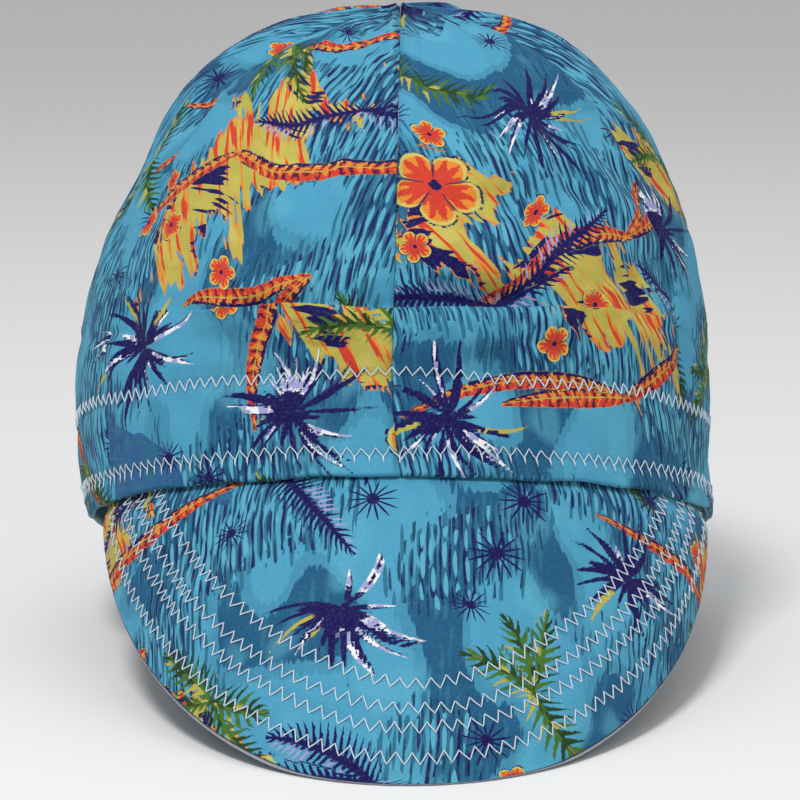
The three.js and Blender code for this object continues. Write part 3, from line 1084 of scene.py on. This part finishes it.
def cloth_material(name, seed, lip=False):
    material, tree = new_material(name)
    p = Print(tree, seed)
    for paint in PRINT_STEPS:
        paint(p)
    p.paint(p.field("wrong_side").above(0.5, 0.4), WRONG_SIDE)
    if lip:
        rim = p.field("rim")
        # painted light on the bill's rolled edge: a dark band of painted shade just inside it, and
        # a pale strip of painted highlight along its outermost half millimetre
        p.paint(rim.below(0.95, 0.15) * 0.9, LIP_SHADE)
        p.paint(rim.below(0.55, 0.12), LIP_HIGHLIGHT)
    # fine crossing threads
    warp, weft = (p.u * WEAVE_PACE).math("SINE"), (p.v * WEAVE_PACE).math("SINE")
    weave = warp * 0.5 + weft * 0.5 + p.grain("slub") * 1.6
    inputs = {
        "Base Color": p.colour,
        "Roughness": weave * 0.03 + p.ragged * 0.08 + 0.74,
        "Sheen Weight": 0.02,
        "Sheen Roughness": 0.45,
        "Specular IOR Level": 0.14,
    }
    shade(tree, weave, 0.35, 0.00012, inputs)
    return material


def thread_material():
    material, tree = new_material("stitch_thread")
    where = add_node(tree, "TexCoord", {}).outputs["Object"]
    twist = noise(tree, where, scale=900.0)
    inputs = {
        "Base Color": mixed(tree, twist, THREAD_DARK, THREAD_LIGHT),
        "Roughness": twist * 0.2 + 0.45,
        "Sheen Weight": 0.2,
    }
    shade(tree, twist, 0.4, 0.0001, inputs)
    return material


crown_print = cloth_material("crown_print", 5.0)
band_print = cloth_material("band_print", 15.0)
bill_print = cloth_material("bill_print", 25.0, lip=True)
thread = thread_material()

# Crown panels: columns close together at the seams, and rows at the ledge
SIDE_SHARES = np.array([0, 0.0025, 0.005, 0.008, 0.012, 0.018])
COLUMN_SHARES = np.concatenate(
    [SIDE_SHARES, np.linspace(0.025, 0.975, 133), 1 - SIDE_SHARES[::-1]]
)
LEDGE_UP = dome_up(LEDGE_RISE)
DOME_UPS = np.concatenate(
    [
        np.linspace(0.006, LEDGE_UP - 0.013, 24),
        LEDGE_UP + np.linspace(-0.009, 0.012, 18),
        np.linspace(LEDGE_UP + 0.016, 0.9925, 190),
    ]
)
BAND_UPS = np.linspace(0.04, 1, 33)
HEM_HALF_THICKNESS = 1.1
PANEL_INSET = 0.05  # from a seam's middle to the panel
TUCKED = 9.0  # cloth that the tuck hides
TUCK_SHIFT = 1.5  # how far the tuck moves the print sideways


def hem_fold(edge, normal):
    """Rows round the hem, from the bottom edge of the outside to that of the inside."""
    rows = []
    for bend in np.linspace(10, 170, 10) * DEG:
        row = edge - normal * HEM_HALF_THICKNESS * (1 - math.cos(bend))
        row[:, 2] -= HEM_HALF_THICKNESS * math.sin(bend)
        rows.append(row)
    return rows


def panel_grid(begins, ups, radius):
    """Angles and ups of a panel's points. radius is that of the head in each row."""
    up = ups[:, None] + np.zeros(len(COLUMN_SHARES))
    inset = PANEL_INSET / radius(up)
    return begins * DEG + inset + COLUMN_SHARES * (PANEL_DEGREES * DEG - 2 * inset), up


def make_panel(name, begins, _, *cut):
    angle, up = panel_grid(begins, BAND_UPS, lambda up: HEM_HALF_WIDTH + 0 * up)
    low = band_surface(angle, up)
    turned_in = 0.7 * (1 - smooth(up * BAND_HEIGHT, 1, 5))
    low_inner = band_surface(angle, up, -CLOTH_THICKNESS - turned_in)
    fold = hem_fold(low[0], normal_of(band_base, angle[0], up[0]))

    angle, up = panel_grid(begins, DOME_UPS, dome_radius)
    degrees = angle / DEG
    ledge = ledge_height(degrees)
    # the rows near the ledge follow it
    up = up + (ledge - LEDGE_RISE) / DOME * 2 / math.pi * bell(up - LEDGE_UP, 0.03)
    outer = np.concatenate([fold[4::-1], low, crown_surface(angle, up)])
    inner = np.concatenate([fold[5:], low_inner, crown_surface(angle, up, -CLOTH_THICKNESS)])

    lengths = lengths_along(outer)
    above = np.zeros_like(lengths)
    above[-len(up) :] = smooth(dome_height(up) - ledge, 0, 0.2) * tuck_share(degrees)
    u = lengths - lengths[:, -1:] / 2 + TUCK_SHIFT * above
    v = lengths_along(outer[:, outer.shape[1] // 3])[:, None] + TUCKED * above
    u, v = cut_print(u, v, *cut)
    rows, columns = (coarse_steps(n, every) for n, every in zip(u.shape, (3, 4)))
    vertices, faces = shell(stand(outer), stand(inner), rows, columns)
    hidden = len(vertices) - u.size
    layers = with_wrong_side(print_on(u, v), hidden)
    places = np.pad(np.stack([u.ravel(), v.ravel()], 1), ((0, hidden), (0, 0)))
    piece = name + "_cloth"
    add_mesh(piece, vertices, faces, crown_print, name, layers, places)


for panel in PANELS:
    make_panel(*panel)

# Band: the doubled cloth inside the panels
BAND_ROWS, BAND_COLUMNS = 16, 181
BAND_FROM, BAND_TO = 0.19, 0.995  # its lower and upper edge, as ups
BAND_INSET = 0.1
UNPRINTED = -500.0


def make_band(name, begins, ends):
    inset = BAND_INSET / HEM_HALF_WIDTH
    angle = np.linspace(begins + inset, ends - inset, BAND_COLUMNS)
    angle, up = np.meshgrid(angle, np.linspace(BAND_FROM, BAND_TO, BAND_ROWS))
    arc, height = angle * HEM_HALF_WIDTH, up * BAND_HEIGHT
    waver = 0.25 * waves(arc, height, 91, 30, 9)
    edges = np.minimum(smooth(up, BAND_FROM, 0.24), 1 - smooth(up, 0.95, BAND_TO))
    half = BAND_THICKNESS / 2 * (0.35 + 0.65 * edges)
    middle = -CLOTH_THICKNESS - SEAM_GAP - BAND_THICKNESS / 2
    outer = band_surface(angle, up, middle + half)
    inner = band_surface(angle, up, middle - half - 0.2 * edges * (1 + waver))
    vertices, faces = shell(stand(outer), stand(inner), range(BAND_ROWS), range(BAND_COLUMNS))
    places = np.tile(np.stack([arc.ravel(), height.ravel()], 1), (2, 1))
    layers = print_on(np.full(len(vertices), UNPRINTED), np.zeros(len(vertices)))
    layers["wrong_side"] = np.ones(len(vertices))
    piece = name + "_cloth"
    add_mesh(piece, vertices, faces, band_print, name, layers, places)


make_band("band_right", -math.pi, 0)
make_band("band_left", 0, math.pi)

# Bill
BILL_CUT = (176, 268, 3)  # where its print was cut: across, up, turn in degrees
UNDERSIDE_CUT = np.array([97, 41])  # how much further the underside's was
FRONT_FLOOR, UNDER_FLOOR = 0.35, 0.05  # the least heights of its two faces above the floor


def make_bill():
    across = np.sin(np.linspace(-1, 1, 361) * math.pi / 2)
    side, root, edge = (
        np.interp(across, PATTERN_ACROSS, values)
        for values in (PATTERN_SIDE, PATTERN_ROOT, PATTERN_EDGE)
    )
    # rows from the outer edge to the root
    shares = np.append(np.linspace(0, 0.96, 134), [0.97, 0.979, 0.986, 0.992, 0.996, 1])[::-1]
    start = root - BILL_TUCK
    side = np.broadcast_to(side, (len(shares), len(side)))
    level = start + (edge - start) * shares[:, None]
    rim = edge_distance(side, level)
    half = bill_half_thickness(rim, side, level)
    half = half * np.sqrt(1 - (1 - np.clip(rim / 0.9, 0, 1)) ** 2 * 0.97)
    half = half * (0.55 + 0.45 * smooth(level - root, -4, 5))
    front = stand(bill_surface(side, level, half, rim), FRONT_FLOOR)
    under = stand(bill_surface(side, level, -half, rim), UNDER_FLOOR)
    coarse = coarse_steps(side.shape[1], 2)
    vertices, faces = shell(front, under, range(len(shares)), coarse)
    # the underside is cut from the same printed cloth
    places = np.stack(cut_print(side, -level, *BILL_CUT), -1)
    beneath = places[:, coarse] + UNDERSIDE_CUT
    places = np.vstack([places.reshape(-1, 2), beneath.reshape(-1, 2)])
    layers = print_on(*places.T)
    layers["wrong_side"] = np.zeros(len(vertices))
    layers["rim"] = np.concatenate([rim.ravel(), rim[:, coarse].ravel()])
    piece = "bill_quilted"
    return add_mesh(piece, vertices, faces, bill_print, "bill", layers, places)


bill = make_bill()

# Stitches
THREAD_RADIUS = 0.19
THREAD_SIDES = 6
STEPS_A_LEG = 6
STITCH_PITCH = 3.75
QUILT_PITCH = 4.0
STITCH_HALF_HEIGHT = 1.6
UPPER_ROW_RADIUS = 97
LOWER_ROW_RADIUS = 95

# A fork of the lower row, whose two legs meet and run down together in a stem: share of the
# pitch, how much of the stem's jitter it takes, height, lift off the cloth
FORK = [
    (0.0, 0, 2.3, 0.1),
    (0.12, 0, 1.7, 0.7),
    (0.3, 0, 0.7, 0.9),
    (0.46, 1, 0.0, 0.5),
    (0.49, 1, -1.0, 0.9),
    (0.5, 1, -2.1, 0.0),
    (0.51, 1, -1.0, 0.9),
    (0.54, 1, 0.0, 0.5),
    (0.7, 0, 0.7, 0.9),
    (0.88, 0, 1.7, 0.7),
]


def tube(path, normals, radius=THREAD_RADIUS):
    """Points and faces of a thread along a path in metres, closed at its ends."""
    tangents = unit(np.gradient(path, axis=0))
    across = unit(np.cross(tangents, tipped(normals)))
    out = unit(np.cross(across, tangents))
    turns = (np.arange(THREAD_SIDES) * 2 * math.pi / THREAD_SIDES)[None, :, None]
    ring = np.cos(turns) * out[:, None] + np.sin(turns) * across[:, None]
    points = path[:, None] + radius * MM * ring
    index = np.arange(len(path) * THREAD_SIDES).reshape(len(path), THREAD_SIDES)
    after = np.roll(index, -1, axis=1)
    faces = np.stack([index[:-1], after[:-1], after[1:], index[1:]], -1).reshape(-1, 4)
    return points.reshape(-1, 3), faces.tolist() + [index[0, ::-1].tolist(), index[-1].tolist()]


def add_threads(name, tubes):
    vertices, faces = np.zeros((0, 3)), []
    for points, sides in tubes:
        faces += [[len(vertices) + i for i in side] for side in sides]
        vertices = np.vstack([vertices, points])
    add_mesh(name, vertices, faces, thread, None)


def zigzag(total, pitch, seed):
    """Shares of a row's length, sides from -1 to 1, and the lift of its thread off the cloth."""
    rng = np.random.default_rng(seed)
    legs = 2 * int(round(total / pitch))
    tops = np.arange(legs + 1) / legs
    tops[1:-1] += rng.normal(0, 0.06, legs - 1) / legs
    side = np.where(np.arange(legs + 1) % 2, 1.0, -1.0)
    side = side * (1 + rng.normal(0, 0.07, len(side)))
    t = np.arange(STEPS_A_LEG) / STEPS_A_LEG
    share, swing = ((a[:-1, None] + np.diff(a)[:, None] * t).ravel() for a in (tops, side))
    lift = np.tile(np.sin(math.pi * t) ** 0.5, legs)
    return np.append(share, 1.0), np.append(swing, side[-1]), np.append(lift, 0.0)


def round_the_head(share):
    """Angles of a row of stitches that begins and ends at the centre back."""
    return np.clip(-math.pi + 2 * math.pi * share, -math.pi + 1e-4, math.pi - 1e-4)


def row_point(angle, height, out):
    """A point near the upper stitch row, at a height above the foot of the dome."""
    low = band_surface(angle, 1 + np.minimum(height, 0) / BAND_HEIGHT, out)
    high = crown_surface(angle, dome_up(height), out)
    return np.where((height > 0)[:, None], high, low)


def upper_row():
    share, side, lift = zigzag(2 * math.pi * UPPER_ROW_RADIUS, STITCH_PITCH, 71)
    angle = round_the_head(share)
    drift = 0.5 * waves(angle * UPPER_ROW_RADIUS, 0, 72, 90, 25, 6)
    height = side * STITCH_HALF_HEIGHT + drift - row_drop(angle)
    out = 0.18 + 0.3 * lift + 0.15 * bell(side, 0.55) + bridge(angle)
    path = stand(row_point(angle, height, out))
    return tube(path, normal_of(band_base, angle, np.ones_like(angle)))


def lower_row():
    rng = np.random.default_rng(73)
    count = round(2 * math.pi * LOWER_ROW_RADIUS / STITCH_PITCH)
    points = []
    for k in range(count):
        jitter, tall = rng.normal(0, 0.05), 1 + rng.normal(0, 0.06)
        for share, moved, height, lift in FORK:
            points.append(((k + share + moved * jitter) / count, height * tall, lift))
    share, height, lift = np.array(points).T
    angle = round_the_head(share)
    drift = 0.3 * waves(angle * LOWER_ROW_RADIUS, 0, 74, 90, 25, 6)
    up = (height + LOWER_ROW + drift) / BAND_HEIGHT
    path = stand(band_surface(angle, up, 0.2 + 0.22 * lift + bridge(angle)))
    return tube(path, normal_of(band_base, angle, up), THREAD_RADIUS * 0.9)


def offset_line(distance):
    """The outer edge of the flat pattern moved inwards, cut where it meets the hem."""
    edge = np.stack([PATTERN_SIDE, PATTERN_EDGE], 1)
    tangent = unit(np.gradient(edge, axis=0))
    line = edge + np.stack([tangent[:, 1], -tangent[:, 0]], 1) * distance
    side, level = line.T
    ahead = np.concatenate([[True], np.diff(side) > 0])
    clear = edge_distance(side, level) > distance - 0.05
    return line[(level > np.interp(side, PATTERN_SIDE, PATTERN_ROOT) - 2) & ahead & clear]


def quilt_row(distance, seed):
    line = offset_line(distance)
    lengths = lengths_along(line)
    share, swing, lift = zigzag(lengths[-1], QUILT_PITCH, seed)
    middle = np.stack([np.interp(share * lengths[-1], lengths, axis) for axis in line.T], 1)
    tangent = unit(np.gradient(middle, axis=0))
    for _ in range(30):
        tangent[1:-1] = (tangent[:-2] + 2 * tangent[1:-1] + tangent[2:]) / 4
    swing = swing * STITCH_HALF_HEIGHT
    side = np.clip(middle[:, 0] + tangent[:, 1] * swing, PATTERN_SIDE[0], PATTERN_SIDE[-1])
    level = middle[:, 1] - tangent[:, 0] * swing
    rim = edge_distance(side, level)
    half = bill_half_thickness(rim, side, level)
    path = bill_surface(side, level, half + 0.1 + 0.26 * lift, rim)
    higher = bill_surface(side, level, half + 1.1, rim)
    return tube(stand(path, 0.4), unit(higher - path))


add_threads("upper_row_stitches", [upper_row()])
add_threads("lower_row_stitches", [lower_row()])
quilting = [quilt_row(distance, 80 + i) for i, distance in enumerate(QUILT_ROWS)]
add_threads("bill_stitches", quilting)

# Floor, light and camera, in metres
FLOOR_REACH = 6
floor_mesh = bpy.data.meshes.new("floor")
floor_corners = [(-1, -1), (1, -1), (1, 1), (-1, 1)]
floor_mesh.from_pydata(
    [(x * FLOOR_REACH, y * FLOOR_REACH, 0) for x, y in floor_corners], [], [(0, 1, 2, 3)]
)
floor = add_object("floor", floor_mesh)
pale, pale_tree = new_material("pale_floor")
pale_inputs = pale_tree.nodes["Principled BSDF"].inputs
pale_inputs["Base Color"].default_value = (0.86, 0.86, 0.86, 1)
pale_inputs["Roughness"].default_value = 0.9
floor_mesh.materials.append(pale)

world = bpy.data.worlds.new("studio")
world.use_nodes = True
world.node_tree.nodes["Background"].inputs["Color"].default_value = (1, 1, 1, 1)
world.node_tree.nodes["Background"].inputs["Strength"].default_value = 0.5
bpy.context.scene.world = world
bpy.context.scene.view_settings.view_transform = "Standard"

TARGET = (0.00205, 0.0209, 0.0701)
# Lights: name, place, size, power in watts
LIGHTS = [
    ("key", (-0.3, -0.7, 1.4), 0.35, 13),
    ("fill", (0.9, -0.9, 0.55), 1.2, 1.5),
    ("top", (0.1, 0.5, 1.4), 1.2, 2),
]
VIEW_ELEVATION = 10.51 * DEG
VIEW_DISTANCE = 0.9
FOCAL_PIXELS = 3027
FRAME_PIXELS = 800
SENSOR_WIDTH = 36


def aim(thing, place):
    """Puts a light or camera at a place and turns it to the target."""
    thing.location = place
    x, y, z = np.array(TARGET) - np.array(place)
    pitch = math.atan2(z, math.hypot(x, y))
    thing.rotation_euler = (math.pi / 2 + pitch, 0, math.atan2(-x, y))


for name, place, size, power in LIGHTS:
    light = bpy.data.lights.new(name, "AREA")
    light.shape = "SQUARE"
    light.size = size
    light.energy = power
    aim(add_object(name, light), place)

camera_data = bpy.data.cameras.new("camera")
camera_data.sensor_width = SENSOR_WIDTH
camera_data.lens = SENSOR_WIDTH * FOCAL_PIXELS / FRAME_PIXELS
camera = add_object("camera", camera_data)
back = VIEW_DISTANCE * math.cos(VIEW_ELEVATION)
rise = VIEW_DISTANCE * math.sin(VIEW_ELEVATION)
aim(camera, (TARGET[0], TARGET[1] - back, TARGET[2] + rise))
bpy.context.scene.camera = camera
